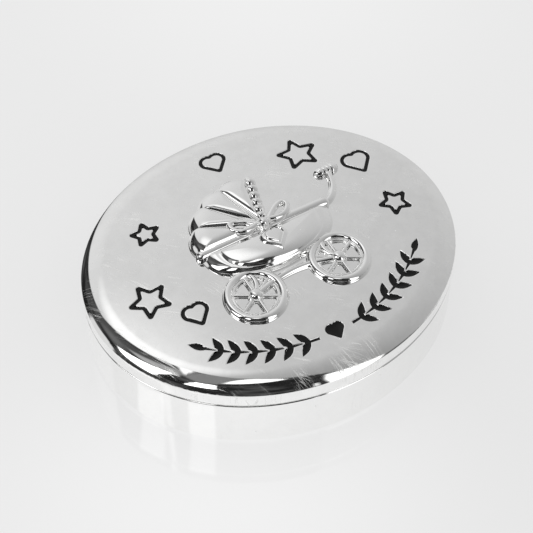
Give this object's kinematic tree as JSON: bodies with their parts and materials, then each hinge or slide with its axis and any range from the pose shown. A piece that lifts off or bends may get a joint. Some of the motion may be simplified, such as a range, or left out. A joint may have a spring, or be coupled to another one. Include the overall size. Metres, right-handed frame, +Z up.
{
  "type": "baby hair keepsake box",
  "caption": "Low oval silver-plated keepsake box with a lift-off lid, raised pram ornament, enamelled stars, hearts and garland, and a velvet well.",
  "frame": {"origin": "on the ground under the middle of the closed box", "axes": "+X along the oval's length, -Y the front where the garland is, +Z up and out of the lid"},
  "size_m": [0.07, 0.06, 0.0209],
  "materials": {
    "silver_plate": "bright silver plate on die-cast zinc alloy, with fine handling scratches",
    "black_enamel": "glossy black cold enamel, sunk a little below the metal",
    "velvet": "short-pile midnight blue velvet",
    "wadding": "white polyester wadding",
    "card": "uncoated grey paper board",
    "felt": "black self-adhesive felt"
  },
  "bodies": {
    "base": {"base_shell": "silver_plate", "rim_collar": "silver_plate", "wall_card": "card", "wall_velvet": "velvet", "floor_card": "card", "floor_wadding": "wadding", "floor_velvet": "velvet", "foot_felt": "felt"},
    "lid": {"lid_shell": "silver_plate", "lid_card": "card", "lid_wadding": "wadding", "lid_velvet": "velvet", "enamel_garland_left": "black_enamel", "enamel_garland_right": "black_enamel", "enamel_heart_middle": "black_enamel", "enamel_heart_top": "black_enamel", "enamel_heart_right": "black_enamel", "enamel_heart_lower_left": "black_enamel", "enamel_star_upper_left": "black_enamel", "enamel_star_left": "black_enamel", "enamel_star_upper_right": "black_enamel", "enamel_star_right": "black_enamel"}
  },
  "joints": [
    {"name": "lid_lift", "type": "slide", "parent": "base", "child": "lid", "axis": [0, 0, 1], "range_m": [0, 0.045]}
  ]
}
